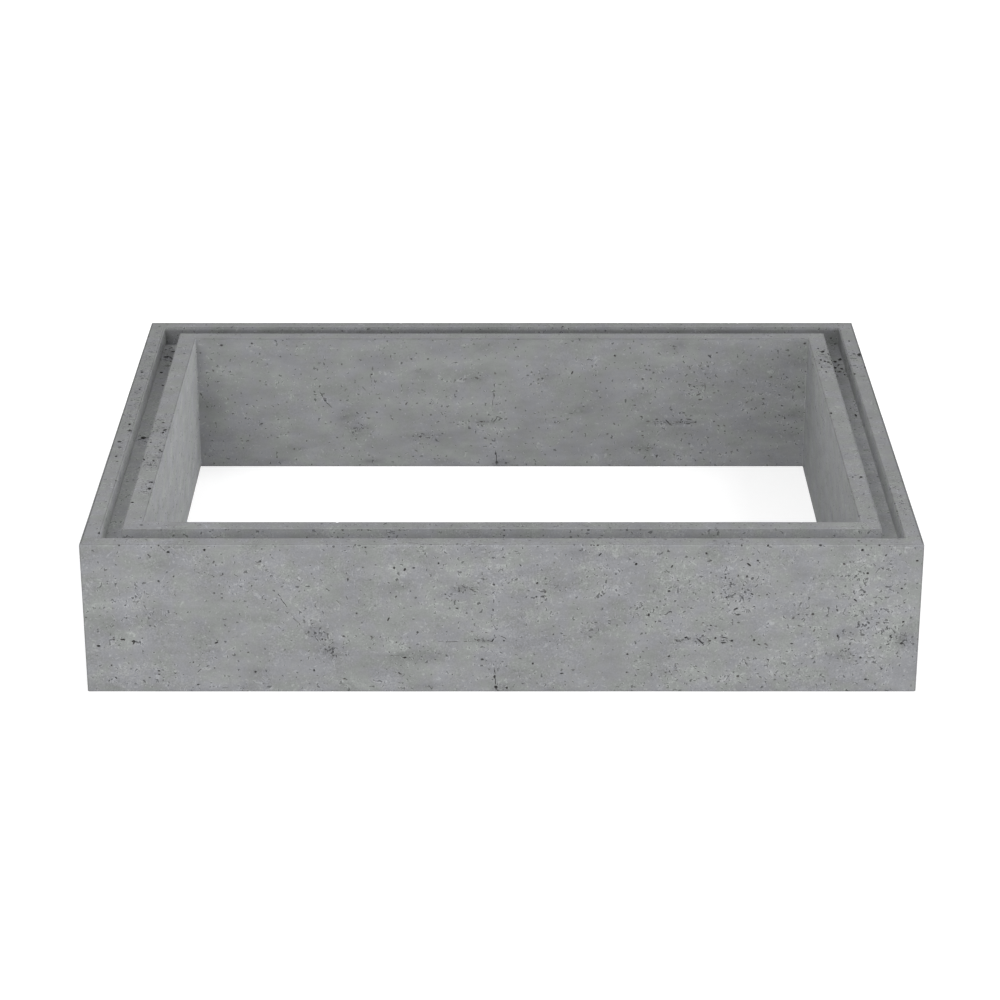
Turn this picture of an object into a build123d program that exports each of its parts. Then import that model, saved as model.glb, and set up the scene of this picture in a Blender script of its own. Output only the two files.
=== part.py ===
"""Precast concrete manhole section: one rectangular ring course with a jointing groove in its top.

Millimetres, +Z up. The origin is the middle of the underside, so the section stands on Z = 0,
its length runs along X and its breadth along Y.
"""
from build123d import *
import os

# Clear opening through the section
opening_length = 1000.0
opening_breadth = 750.0

# Height of the course
height = 225.0

# Top of the wall, from the outer face inwards: outer rim, jointing groove, inner lip
rim_width = 24.0
groove_width = 28.0
lip_width = 28.0
groove_depth = 30.0

# Small bevel that the mould leaves along every outward edge
arris = 1.0

# Sizes that follow from those above
wall = rim_width + groove_width + lip_width
length = opening_length + 2 * wall
breadth = opening_breadth + 2 * wall


def rectangular_ring(outer_inset, inner_inset, bottom, top):
    """Return a square-cornered ring between two insets from the outer faces, from bottom to top."""
    outer = Rectangle(length - 2 * outer_inset, breadth - 2 * outer_inset)
    inner = Rectangle(length - 2 * inner_inset, breadth - 2 * inner_inset)
    return extrude(Pos(0, 0, bottom) * (outer - inner), amount=top - bottom)


def outward_edges(casting):
    """Return the edges of the underside, those of the top and the four upright outer corners."""
    levels = casting.edges().group_by(Axis.Z)
    upright = casting.edges().filter_by(Axis.Z)
    outer_corners = upright.group_by(lambda edge: abs(edge.center().X))[-1]
    return levels[0] + outer_corners + levels[-1]


def manhole_section():
    """Return the whole casting: the ring, less the groove in its top, with its arrises taken off."""
    ring = rectangular_ring(0, wall, 0, height)
    groove = rectangular_ring(rim_width, rim_width + groove_width, height - groove_depth, height)
    casting = ring - groove
    return chamfer(outward_edges(casting), arris)


os.makedirs("parts", exist_ok=True)
export_step(manhole_section(), "parts/manhole_section.step")
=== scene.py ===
"""Looks of a precast concrete manhole section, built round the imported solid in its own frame.

The casting is remade as one detailed mesh: slightly uneven faces and worn arrises, with blowholes, dashes
and cracks cut into it as real hollows, in a cloudy grey cast concrete. Metres, +Z up, front towards -Y.
"""

import logging
import math
from dataclasses import dataclass, field
from enum import Enum

import bmesh
import bpy
from mathutils import Matrix, Vector, noise

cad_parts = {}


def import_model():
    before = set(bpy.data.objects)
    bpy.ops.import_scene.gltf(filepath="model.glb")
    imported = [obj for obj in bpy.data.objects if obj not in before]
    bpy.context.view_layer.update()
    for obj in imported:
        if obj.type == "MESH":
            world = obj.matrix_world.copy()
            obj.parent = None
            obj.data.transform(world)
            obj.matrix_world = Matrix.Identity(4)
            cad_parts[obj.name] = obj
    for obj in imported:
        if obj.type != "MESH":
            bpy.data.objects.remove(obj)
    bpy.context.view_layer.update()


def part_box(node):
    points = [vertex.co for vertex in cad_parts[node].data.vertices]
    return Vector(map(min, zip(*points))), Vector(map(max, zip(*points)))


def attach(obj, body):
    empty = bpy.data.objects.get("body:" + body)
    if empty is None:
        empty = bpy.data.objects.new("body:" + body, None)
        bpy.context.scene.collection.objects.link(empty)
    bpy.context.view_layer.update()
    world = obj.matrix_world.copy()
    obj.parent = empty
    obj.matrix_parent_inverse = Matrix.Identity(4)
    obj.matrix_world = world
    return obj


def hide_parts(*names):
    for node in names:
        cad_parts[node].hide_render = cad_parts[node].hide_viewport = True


MM = 0.001
NODE = "manhole_section"
BODY = "root"
RESTLESS = "restless"
SMUDGED_AND_SHADED = "smudged_and_shaded"
CRACK_WIDTH = "crack_width"
SMOOTH_ANGLE = math.radians(32)
log = logging.getLogger("manhole_section")

Sockets = dict[str, tuple["Plug", object]]


class Plug(Enum):
    """Kinds of socket that the node groups have."""

    VALUE = "NodeSocketFloat"
    WHOLE = "NodeSocketInt"
    VECTOR = "NodeSocketVector"
    SHAPE = "NodeSocketGeometry"
    PAINT = "NodeSocketMaterial"


class Side(Enum):
    """Sides of the ring that marks are set out on, each with its outward direction."""

    FRONT = (0, -1, 0)
    BACK = (0, 1, 0)
    LEFT = (-1, 0, 0)
    RIGHT = (1, 0, 0)
    TOP = (0, 0, 1)


# Marks, patches, stains and painted groove shade, set out in millimetres


@dataclass(frozen=True)
class Mark:
    """One blowhole or dash: place along and up its face, width, height and lean in degrees."""

    along: float
    up: float
    wide: float
    tall: float
    lean: float = 0.0


@dataclass(frozen=True)
class Patch:
    """A soft-edged patch on the walls: centre along and up, half sizes and strength from 0 to 1."""

    along: float
    up: float
    wide: float
    tall: float
    strength: float


@dataclass(frozen=True)
class StainAndShade:
    """A soft-edged patch that darkens one place of the casting: centre, half sizes, strength and share of
    flecks. Those along the grooves are painted shade.
    """

    centre: tuple[float, float, float]
    half: tuple[float, float, float]
    strength: float
    flecked: float = 1.0


SMUDGES = (
    Patch(-255, 91, 19, 14, 0.9), Patch(-239, 66, 26, 17, 1.0), Patch(-121, 54, 59, 8, 0.8),
    Patch(-135, 56, 15, 7, 1.0), Patch(-24, 80, 24, 5, 0.9), Patch(-135, 164, 22, 9, 0.8),
    Patch(-49, 157, 31, 7, 0.8), Patch(65, 161, 26, 14, 0.55), Patch(128, 97, 22, 11, 0.9),
    Patch(79, 80, 35, 8, 0.45), Patch(280, 79, 48, 6, 0.8), Patch(322, 166, 31, 31, 0.4),
    Patch(482, 91, 22, 9, 0.8), Patch(474, 56, 31, 12, 0.6), Patch(555, 83, 11, 15, 0.9),
    Patch(-509, 108, 69, 7, 0.7), Patch(-488, 116, 42, 11, 0.4), Patch(-558, 93, 28, 6, 0.5),
    Patch(-335, 31, 15, 7, 0.7), Patch(-31, 216, 19, 11, 0.6), Patch(-336, 221, 17, 5, 0.6),
    Patch(-217, 9, 15, 6, 0.9), Patch(0, 5, 19, 6, 1.0), Patch(287, 213, 17, 12, 0.6),
    Patch(233, 31, 21, 8, 0.5), Patch(159, 124, 28, 23, 0.45), Patch(232, 127, 14, 9, 0.5),
    Patch(412, 116, 42, 6, 0.4), Patch(211, 4, 14, 5, 0.7), Patch(377, 4, 17, 5, 0.6),
    Patch(104, 213, 15, 8, 0.4), Patch(183, 207, 15, 8, 0.4), Patch(17, 27, 28, 9, 0.35),
    Patch(-28, 50, 14, 6, 0.4), Patch(-101, 8, 21, 4, 0.6), Patch(-364, 8, 21, 5, 0.6),
    Patch(-211, 220, 20, 5, 0.4), Patch(-454, 218, 10, 12, 0.6),
)
RESTLESS_PATCHES = (
    Patch(-513, 131, 34, 33, 0.8), Patch(-520, 79, 38, 12, 0.9), Patch(-305, 139, 17, 31, 0.5),
    Patch(-239, 77, 38, 27, 0.6), Patch(-201, 212, 21, 15, 0.45), Patch(-139, 178, 28, 23, 0.5),
    Patch(-500, 25, 80, 22, 0.5), Patch(-350, 150, 60, 30, 0.3), Patch(-415, 190, 30, 25, 0.4),
    Patch(-66, 158, 42, 15, 0.3), Patch(-14, 70, 35, 70, 0.6), Patch(52, 158, 21, 22, 0.8),
    Patch(90, 85, 21, 15, 0.3), Patch(180, 58, 17, 31, 0.45), Patch(280, 81, 52, 14, 1.0),
    Patch(322, 155, 42, 58, 0.9), Patch(252, 139, 62, 85, 0.5), Patch(412, 116, 55, 31, 0.65),
    Patch(516, 108, 62, 116, 0.85), Patch(322, 27, 138, 27, 0.6), Patch(-163, 12, 388, 12, 0.35),
    Patch(502, 189, 28, 39, 1.0),
)
# Darker patches round the clusters of marks and darker strips along the tops; the two long strips at height
# 195 are painted shade along the right and back grooves.
STAINS_AND_SHADE = (
    StainAndShade((-545, 385, 200), (24, 70, 30), 0.9), StainAndShade((-543, 15, 200), (24, 34, 40), 1.0),
    StainAndShade((-510, -30, 225), (28, 90, 20), 0.9), StainAndShade((-515, -150, 225), (26, 60, 20), 0.9),
    StainAndShade((-503, -250, 225), (20, 50, 20), 0.9), StainAndShade((540, 285, 215), (64, 70, 30), 1.0),
    StainAndShade((-556, -45, 225), (16, 34, 20), 0.8), StainAndShade((505, -215, 225), (24, 24, 20), 0.5),
    StainAndShade((-566, 150, 222), (15, 440, 20), 1.0, 0.2), StainAndShade((0, -389, 225), (500, 14, 12), 0.6, 0.2),
    StainAndShade((568, -290, 225), (16, 110, 20), 0.9, 0.9), StainAndShade((515, -300, 225), (20, 90, 20), 0.5),
    StainAndShade((542, -20, 195), (30, 420, 32), 0.35, 0.1), StainAndShade((0, 417, 195), (540, 30, 32), 0.7, 0.1),
    StainAndShade((0, 443, 225), (570, 13, 12), 0.5, 0.2), StainAndShade((0, -443, 225), (570, 12, 8), 0.3, 0.2),
)
DEEP_MARKS = (
    Mark(185, 196, 4, 4), Mark(231, 155, 4, 3.5), Mark(495, 217, 4, 4), Mark(504, 182, 4, 4),
    Mark(571, 201, 4, 3), Mark(552, 159, 4, 3), Mark(-187, 221, 3, 3), Mark(-148, 190, 3, 4),
    Mark(-121, 190, 4, 3), Mark(-458, 214, 5, 4), Mark(-408, 217, 4, 4), Mark(-8, 7, 5, 5),
    Mark(-10, 23, 3, 6), Mark(-397, 76, 6, 3, 25), Mark(256, 84, 5, 3, 10), Mark(276, 78, 17, 2.6, -43),
    Mark(309, 84, 13, 2.2, -12), Mark(320, 79, 4, 3.5), Mark(308, 76, 8, 2.6), Mark(324, 128, 8, 3, 28),
    Mark(340, 195, 8, 3, -38), Mark(-527, 81, 7, 3, 5), Mark(-512, 78, 6, 4), Mark(-561, 71, 6, 4),
    Mark(-157, 112, 7, 2.6, 60), Mark(-262, 33, 3, 4), Mark(467, 86, 3, 5, 10), Mark(557, 108, 4, 3, -40),
    Mark(509, 19, 4, 3), Mark(-135, 53, 5, 3), Mark(489, 141, 6, 3, -40),
)
SHALLOW_MARKS = (
    Mark(-12, 126, 3, 4), Mark(242, 80, 7, 3, 5), Mark(289, 79, 6, 3), Mark(297, 83, 4, 4),
    Mark(327, 119, 8, 4), Mark(352, 201, 4, 4), Mark(281, 212, 4, 4), Mark(287, 202, 8, 2, -40),
    Mark(229, 215, 5, 3, -30), Mark(216, 174, 6, 2, -15), Mark(243, 171, 4, 3), Mark(162, 149, 3, 3),
    Mark(308, 175, 3, 6, 10), Mark(316, 167, 6, 3, -50), Mark(326, 178, 3, 5), Mark(334, 164, 3, 4, 30),
    Mark(338, 177, 4, 4), Mark(310, 145, 5, 3), Mark(303, 151, 3, 3), Mark(334, 144, 1.8, 14, 3),
    Mark(349, 131, 5, 3), Mark(278, 105, 7, 2.5, 50), Mark(233, 55, 4, 4), Mark(175, 30, 4, 3),
    Mark(243, 33, 7, 2.5, -10), Mark(229, 30, 4, 3, 20), Mark(286, 21, 3, 6, 30), Mark(330, 24, 5, 4),
    Mark(362, 22, 7, 3, -50), Mark(341, 44, 2, 12, 25), Mark(87, 87, 7, 2.5), Mark(219, 109, 6, 3, -20),
    Mark(351, 80, 4, 4, 30), Mark(358, 73, 6, 3, -30), Mark(368, 73, 7, 3, -40), Mark(186, 76, 3, 6, 20),
    Mark(175, 58, 4, 4), Mark(481, 134, 8, 2, 60), Mark(556, 75, 5, 4), Mark(552, 55, 3, 3),
    Mark(530, 35, 4, 4), Mark(431, 120, 5, 4), Mark(404, 114, 6, 3, 45), Mark(434, 95, 6, 3, 55),
    Mark(412, 102, 4, 3), Mark(509, 46, 4, 3), Mark(500, 53, 4, 4), Mark(382, 26, 5, 3, -60),
    Mark(367, 150, 4, 3), Mark(378, 151, 3, 3), Mark(400, 169, 7, 2), Mark(441, 158, 2, 6),
    Mark(524, 189, 6, 3, -30), Mark(471, 196, 4, 4), Mark(557, 137, 3, 3), Mark(520, 104, 3, 3),
    Mark(-210, 222, 5, 2), Mark(-191, 191, 3, 3), Mark(-199, 197, 4, 2), Mark(-212, 173, 3, 9, -5),
    Mark(-262, 181, 3, 3), Mark(-257, 136, 9, 2, 55), Mark(-226, 138, 11, 2, -50),
    Mark(-201, 121, 4, 3, -45), Mark(-286, 111, 13, 2.2, -45), Mark(-220, 86, 8, 3, -20),
    Mark(-181, 85, 6, 3, -45), Mark(-117, 92, 4, 4, -30), Mark(-217, 57, 4, 3), Mark(-220, 20, 6, 3),
    Mark(-142, 28, 8, 3, -35),
    Mark(-146, 147, 4, 3), Mark(-78, 150, 3, 3), Mark(-59, 155, 5, 3, 20), Mark(-41, 157, 9, 3, -20),
    Mark(-11, 165, 4, 5, 30), Mark(-84, 78, 6, 2), Mark(-33, 80, 7, 3), Mark(-27, 50, 6, 4, -20),
    Mark(-41, 93, 4, 3), Mark(-540, 81, 6, 3), Mark(-546, 187, 4, 3), Mark(-473, 170, 4, 4),
    Mark(-452, 177, 3, 3), Mark(-451, 120, 3, 4), Mark(-387, 179, 6, 2), Mark(-397, 152, 4, 3),
    Mark(-387, 145, 4, 3), Mark(-492, 22, 4, 3), Mark(-344, 31, 4, 4), Mark(-430, 46, 3, 3),
    Mark(49, 167, 4, 4), Mark(48, 146, 3, 4), Mark(60, 147, 4, 3), Mark(7, 6, 4, 4), Mark(-353, 61, 4, 3),
    Mark(-384, 181, 3, 5), Mark(-396, 199, 3, 5, -30), Mark(-335, 196, 9, 2, -10), Mark(60, 154, 3, 6, -15),
)
TOP_MARKS = (
    Mark(-567, -96, 7, 4, -10), Mark(-553, -54, 5, 8), Mark(-560, -30, 8, 5, -20), Mark(-564, -152, 5, 3),
    Mark(-513, 3, 5, 5), Mark(-507, -27, 6, 6), Mark(-523, -77, 4, 5), Mark(-503, -114, 4, 6),
    Mark(-563, -4, 4, 8), Mark(-555, -29, 4, 8, 20), Mark(-549, -56, 5, 8), Mark(-570, -75, 7, 6),
    Mark(-568, -132, 4, 6), Mark(-570, 221, 4, 7), Mark(-509, -38, 4, 8), Mark(-506, -108, 4, 7, 15),
    Mark(-526, -145, 4, 9, 20), Mark(-511, -148, 4, 4), Mark(-504, -232, 4, 5), Mark(-505, -255, 6, 9, 10),
    Mark(-524, -306, 5, 5, 20), Mark(-502, -386, 6, 4), Mark(-557, -414, 5, 7), Mark(-516, 146, 3, 4),
    Mark(493, 411, 5, 8), Mark(518, 316, 6, 10, -20), Mark(511, 277, 4, 8), Mark(517, 271, 4, 9, 10),
    Mark(522, 267, 5, 7), Mark(575, 302, 6, 13, -15), Mark(578, 243, 3, 9), Mark(520, 244, 7, 4),
    Mark(509, 244, 3, 8), Mark(558, 213, 4, 7), Mark(569, 203, 14, 1.6, -5), Mark(503, 42, 4, 9),
    Mark(561, 22, 8, 2.5), Mark(526, 304, 3, 7, 20), Mark(567, 305, 5, 5, -30), Mark(526, 257, 4, 5),
    Mark(512, 330, 3, 6), Mark(507, 262, 3, 5), Mark(566, 366, 3, 7), Mark(514, 222, 3, 7),
    Mark(520, -212, 5, 7), Mark(508, -212, 3, 5), Mark(491, -441, 4, 4),
)
GROOVE_MARKS = (
    Mark(-540, 398, 9, 6, 20), Mark(-549, 372, 9, 7, -10), Mark(-538, 352, 6, 5), Mark(-543, 330, 8, 4),
    Mark(-546, 415, 8, 5, 30), Mark(-540, 242, 4, 6), Mark(-546, 16, 9, 12), Mark(536, 356, 5, 9),
    Mark(543, 350, 6, 10), Mark(552, 360, 6, 12, -15), Mark(540, 322, 6, 8), Mark(550, 318, 5, 9, 15),
    Mark(545, 303, 9, 5, 10), Mark(536, 338, 3, 7), Mark(547, 335, 4, 8, -20), Mark(538, 306, 4, 6),
    Mark(550, 110, 4, 12), Mark(533, 316, 3, 8), Mark(552, 290, 3, 7), Mark(-549, 300, 6, 8),
)
INNER_LEFT_MARKS = (Mark(214, 80, 3, 10), Mark(109, 71, 5, 4), Mark(94, 210, 5, 4), Mark(-120, 128, 4, 4))
INNER_RIGHT_MARKS = (Mark(-67, 122, 3, 10), Mark(170, 158, 4, 3), Mark(-230, 60, 3, 8))


@dataclass(frozen=True)
class CrackPath:
    """A crack: points (along, up) on the walls that face front, and its mean width."""

    points: tuple[tuple[float, float], ...]
    width: float


CRACKS = (
    CrackPath(((-12, 152), (-11, 138), (-13, 124), (-15, 110), (-8, 98), (-7, 90)), 1.5),
    CrackPath(((-7, 90), (-9, 84), (-14, 78)), 1.9),
    CrackPath(((-7, 90), (2, 84), (9, 80)), 1.2),
    CrackPath(((-14, 78), (-28, 80), (-44, 79), (-66, 77), (-92, 78)), 1.1),
    CrackPath(((-11, 50), (-10, 36), (-9, 20), (-8, 2)), 1.6),
    CrackPath(((-216, 172), (-214, 150), (-213, 132)), 0.9),
    CrackPath(((-470, 224), (-464, 217), (-458, 213)), 1.2),
    CrackPath(((-309, 151), (-301, 137), (-293, 122), (-286, 112), (-279, 104)), 1.5),
    CrackPath(((240, 81), (262, 80), (280, 77), (300, 79), (322, 79)), 1.1),
    CrackPath(((334, 150), (335, 138), (331, 127)), 1.0),
    CrackPath(((336, 54), (340, 44), (346, 36)), 1.2),
    CrackPath(((-60, 160), (-40, 156), (-22, 150), (-10, 147)), 1.1),
)


# Node trees


class TreeBuilder:
    """Adds and joins the nodes of one tree, with short calls that both kinds of tree share."""

    def __init__(self, tree: bpy.types.NodeTree) -> None:
        """Keep the tree that is built.

        Args:
            tree: the shader or geometry tree to add nodes to.
        """
        self.tree = tree
        self.nodes = tree.nodes
        self.links = tree.links

    def add(self, kind: str, **settings: object) -> bpy.types.Node:
        """Add one node.

        Args:
            kind: the node's type name.
            settings: attributes to set on it, such as operation.

        Returns:
            The new node.
        """
        node = self.nodes.new(kind)
        for name, value in settings.items():
            setattr(node, name, value)
        return node

    def feed(self, socket: bpy.types.NodeSocket, value: object) -> None:
        """Join an output to an input, or set the input's own value.

        Args:
            socket: the input.
            value: an output socket, or a plain value.
        """
        if isinstance(value, bpy.types.NodeSocket):
            self.links.new(value, socket)
        else:
            socket.default_value = value

    def place(self, kind: str, values: dict[object, object], **settings: object) -> bpy.types.Node:
        """Add one node and feed its inputs.

        Args:
            kind: the node's type name.
            values: what each input gets, by name or number.
            settings: attributes to set on it.

        Returns:
            The new node.
        """
        node = self.add(kind, **settings)
        for key, value in values.items():
            self.feed(node.inputs[key], value)
        return node

    def maths(self, operation: str, *values: object, clamp: bool = False) -> bpy.types.NodeSocket:
        """Add a Math node.

        Args:
            operation: its operation, such as MULTIPLY.
            values: its inputs in order, as outputs or numbers.
            clamp: whether to hold the result between 0 and 1.

        Returns:
            Its output.
        """
        return self.place("ShaderNodeMath", dict(enumerate(values)), operation=operation,
                          use_clamp=clamp).outputs[0]

    def vector(self, operation: str, *values: object) -> bpy.types.NodeSocket:
        """Add a Vector Math node that gives a vector.

        Args:
            operation: its operation, such as MULTIPLY.
            values: its inputs in order, as outputs or vectors.

        Returns:
            Its vector output.
        """
        return self.place("ShaderNodeVectorMath", dict(enumerate(values)), operation=operation).outputs[0]

    def ramp(self, value: object, low: object, high: object, to_low: object = 0.0,
             to_high: object = 1.0, smooth: bool = True) -> bpy.types.NodeSocket:
        """Map a value from one range to another, held at both ends.

        Args:
            value: the output to map.
            low: the value that gives to_low.
            high: the value that gives to_high.
            to_low: the result at and below low.
            to_high: the result at and above high.
            smooth: whether the change eases in and out.

        Returns:
            The mapped output.
        """
        kind = "SMOOTHSTEP" if smooth else "LINEAR"
        values = {"Value": value, "From Min": low, "From Max": high, "To Min": to_low, "To Max": to_high}
        return self.place("ShaderNodeMapRange", values, interpolation_type=kind).outputs["Result"]

    def blend(self, mask: object, bare: object, full: object) -> bpy.types.NodeSocket:
        """Go evenly from one value to another as a mask goes from 0 to 1.

        Args:
            mask: the mask.
            bare: the result where the mask is 0.
            full: the result where the mask is 1.

        Returns:
            The blended output.
        """
        return self.ramp(mask, 0, 1, bare, full, False)

    def noise(self, spot: object, size: object, detail: float = 2.0, rough: float = 0.5,
              distort: float = 0.0, colour: bool = False) -> bpy.types.NodeSocket:
        """Add a noise pattern.

        Args:
            spot: the coordinates in metres.
            size: the size of its lumps in metres, as a number or an output.
            detail: how many finer layers it has.
            rough: how strong the finer layers are.
            distort: how much it is swirled.
            colour: whether to give three separate noises as a colour.

        Returns:
            Its output, about 0.5 on average.
        """
        values = {"Vector": spot, "Scale": self.maths("DIVIDE", 1.0, size), "Detail": detail,
                  "Roughness": rough, "Distortion": distort}
        return self.place("ShaderNodeTexNoise", values).outputs["Color" if colour else 0]

    def patches(self, spot: bpy.types.NodeSocket, centres: list[Vector], halves: list[Vector],
                strengths: list[float]) -> bpy.types.NodeSocket:
        """Add the soft patches that are listed.

        Args:
            spot: the coordinates in millimetres.
            centres: the patches' centres.
            halves: their half sizes.
            strengths: how strong each one is, from 0 to 1.

        Returns:
            How strong the strongest patch is at that place, from 0 to 1.
        """
        strongest = 0.0
        for centre, half, strength in zip(centres, halves, strengths):
            offset = self.vector("DIVIDE", self.vector("SUBTRACT", spot, centre), half)
            reach = self.place("ShaderNodeVectorMath", {0: offset}, operation="LENGTH").outputs["Value"]
            level = self.ramp(reach, 0.3, 1.3, strength, 0.0)
            strongest = self.maths("MAXIMUM", strongest, level)
        return strongest


class NodeGroup(TreeBuilder):
    """A named node group with the sockets that it is given."""

    def __init__(self, name: str, kind: str, inputs: Sockets, outputs: dict[str, Plug]) -> None:
        """Make the group and its sockets.

        Args:
            name: its name.
            kind: ShaderNodeTree or GeometryNodeTree.
            inputs: each input's kind and usual value, None where it has none.
            outputs: each output's kind.
        """
        super().__init__(bpy.data.node_groups.new(name, kind))
        for title, (plug, value) in inputs.items():
            socket = self.tree.interface.new_socket(title, in_out="INPUT", socket_type=plug.value)
            if value is not None:
                socket.default_value = value
        for title, plug in outputs.items():
            self.tree.interface.new_socket(title, in_out="OUTPUT", socket_type=plug.value)
        self.given = self.add("NodeGroupInput").outputs
        self.result = self.add("NodeGroupOutput").inputs

    def run(self, body: bpy.types.Object, inputs: dict[str, object]) -> bpy.types.Mesh:
        """Run a geometry tree on an object and keep its result as a plain mesh.

        Args:
            body: the object that the tree starts from.
            inputs: a value for each named input.

        Returns:
            The new mesh.
        """
        modifier = body.modifiers.new(self.tree.name, "NODES")
        modifier.node_group = self.tree
        for item in self.tree.interface.items_tree:
            if item.in_out == "INPUT" and item.name in inputs:
                modifier[item.identifier] = inputs[item.name]
        return plain_mesh(body, modifier)


def plain_mesh(body: bpy.types.Object, modifier: bpy.types.Modifier) -> bpy.types.Mesh:
    """Apply a modifier into a new mesh and take it off again.

    Args:
        body: the object.
        modifier: its modifier.

    Returns:
        The evaluated mesh.
    """
    graph = bpy.context.evaluated_depsgraph_get()
    mesh = bpy.data.meshes.new_from_object(body.evaluated_get(graph), depsgraph=graph)
    body.modifiers.remove(modifier)
    return mesh


def link_object(name: str, mesh: bpy.types.Mesh) -> bpy.types.Object:
    """Put a mesh into the scene as an object at the origin.

    Args:
        name: the object's name.
        mesh: its mesh.

    Returns:
        The object.
    """
    thing = bpy.data.objects.new(name, mesh)
    bpy.context.scene.collection.objects.link(thing)
    return thing


# The casting


@dataclass(frozen=True)
class WallSection:
    """The wall's cross-section, from the outer face inwards, in metres."""

    rim: float = 24 * MM
    groove: float = 28 * MM
    lip: float = 28 * MM
    groove_depth: float = 30 * MM
    arris: float = 1 * MM

    @property
    def wall(self) -> float:
        """Thickness of the wall."""
        return self.rim + self.groove + self.lip

    @property
    def lip_edge(self) -> float:
        """Inset of the lip's outer edge."""
        return self.rim + self.groove

    def corners(self, height: float) -> list[tuple[float, float]]:
        """List the section's corners.

        Args:
            height: height of the wall.

        Returns:
            Pairs of inset and height, up the outside, over the top and down the inside.
        """
        a, h, floor = self.arris, height, height - self.groove_depth
        r, l, w = self.rim, self.lip_edge, self.wall
        return [(0, a), (0, h - a), (a, h), (r - a, h), (r, h - a), (r, floor), (l, floor), (l, h - a),
                (l + a, h), (w - a, h), (w, h - a), (w, a), (w - a, 0), (a, 0)]


@dataclass
class Casting:
    """The cast ring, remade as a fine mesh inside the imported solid's box."""

    high: Vector
    section: WallSection = field(default_factory=WallSection)
    cell_along: float = 20 * MM
    cell_across: float = 8 * MM
    unevenness: float = 0.3 * MM
    unevenness_size: float = 80 * MM

    @property
    def height(self) -> float:
        """Height of the course."""
        return self.high[2]

    def stations(self) -> list[tuple[float, float]]:
        """Walk round the wall's section in small steps.

        Returns:
            Inset and height of each station.
        """
        corners = self.section.corners(self.height)
        walk = []
        for (i0, z0), (i1, z1) in zip(corners, corners[1:] + corners[:1]):
            steps = max(1, round(math.hypot(i1 - i0, z1 - z0) / self.cell_across))
            walk += [(i0 + (i1 - i0) * k / steps, z0 + (z1 - z0) * k / steps) for k in range(steps)]
        return walk

    def loop(self, inset: float, z: float, cell: float) -> list[Vector]:
        """Lay one closed loop of points round the ring.

        Args:
            inset: distance in from the outer faces.
            z: height of the loop.
            cell: about how far apart its points are on the outer faces.

        Returns:
            Points in order round the loop, with each corner cut by the arris.
        """
        a, b, c = self.high[0] - inset, self.high[1] - inset, self.section.arris
        nx, ny = round(2 * self.high[0] / cell), round(2 * self.high[1] / cell)
        sides = (((-a + c, -b), (a - c, -b), nx), ((a, -b + c), (a, b - c), ny),
                 ((a - c, b), (-a + c, b), nx), ((-a, b - c), (-a, -b + c), ny))
        points = []
        for start, end, count in sides:
            step = (Vector(end) - Vector(start)) / count
            points += [(Vector(start) + step * k).to_3d() + Vector((0, 0, z)) for k in range(count + 1)]
        return points

    def build(self) -> bpy.types.Object:
        """Make the ring's mesh.

        Returns:
            A closed object at the origin.
        """
        shape = bmesh.new()
        rings = [[shape.verts.new(p) for p in self.loop(i, z, self.cell_along)] for i, z in self.stations()]
        for ring, following in zip(rings, rings[1:] + rings[:1]):
            for k, vertex in enumerate(ring):
                n = (k + 1) % len(ring)
                shape.faces.new((vertex, ring[n], following[n], following[k]))
        bmesh.ops.recalc_face_normals(shape, faces=shape.faces)
        self.roughen(shape)
        mesh = bpy.data.meshes.new("casting")
        shape.to_mesh(mesh)
        shape.free()
        return link_object("casting", mesh)

    def roughen(self, shape: bmesh.types.BMesh) -> None:
        """Sink the faces into the concrete by a slow noise, so that nothing grows past the solid.

        Args:
            shape: the ring, with its normals outwards.
        """
        shape.normal_update()
        sunk = [v.co - v.normal * self.unevenness * (0.5 + 0.5 * noise.noise(v.co / self.unevenness_size))
                for v in shape.verts]
        for vertex, place in zip(shape.verts, sunk):
            vertex.co = place

    def dress(self, body: bpy.types.Object, skin: bpy.types.Material, broken: bpy.types.Material) -> None:
        """Carve the ring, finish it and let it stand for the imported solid.

        Args:
            body: the ring's object.
            skin: the finish of the cast faces.
            broken: the finish of what is cut open.
        """
        zones = Zones(self.high[0] - self.section.wall, self.high[1] - self.section.wall)
        zones.store(body)
        body.data.materials.append(skin)
        carve_casting(self, body, broken)
        zones.store(body)
        body.name = "casting"
        body.data.name = "casting"
        body.data.shade_smooth()
        body.data.set_sharp_from_angle(angle=SMOOTH_ANGLE)
        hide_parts(NODE)
        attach(body, BODY)

    def edge_line(self, name: str, loops: list[tuple[float, float]], cell: float) -> bpy.types.Object:
        """Draw closed lines round the ring.

        Args:
            name: the object's name.
            loops: inset and height of each line.
            cell: about how far apart its points are.

        Returns:
            An object of edges alone.
        """
        points, edges = [], []
        for inset, z in loops:
            loop = self.loop(inset, z, cell)
            first = len(points)
            points += loop
            edges += [(first + k, first + (k + 1) % len(loop)) for k in range(len(loop))]
        mesh = bpy.data.meshes.new(name)
        mesh.from_pydata(points, edges, [])
        return link_object(name, mesh)


# Cutters


@dataclass(frozen=True)
class Blowholes:
    """Air bubbles of one size range that the mould face left, scattered by Geometry Nodes."""

    seed: int
    density: float
    least_gap: float
    small: float
    large: float
    rarity: float
    stretch: float
    fineness: int

    def cutters(self, body: bpy.types.Object, paint: bpy.types.Material) -> bpy.types.Mesh:
        """Scatter the bubbles over the casting.

        Args:
            body: the casting.
            paint: the finish of the bubbles' insides.

        Returns:
            A mesh of separate small closed bodies.
        """
        return scatter_tree().run(body, {
            "Seed": self.seed, "Density": self.density, "Least gap": self.least_gap, "Small": self.small,
            "Large": self.large, "Rarity": self.rarity, "Stretch": self.stretch,
            "Fineness": self.fineness, "Paint": paint})


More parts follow.
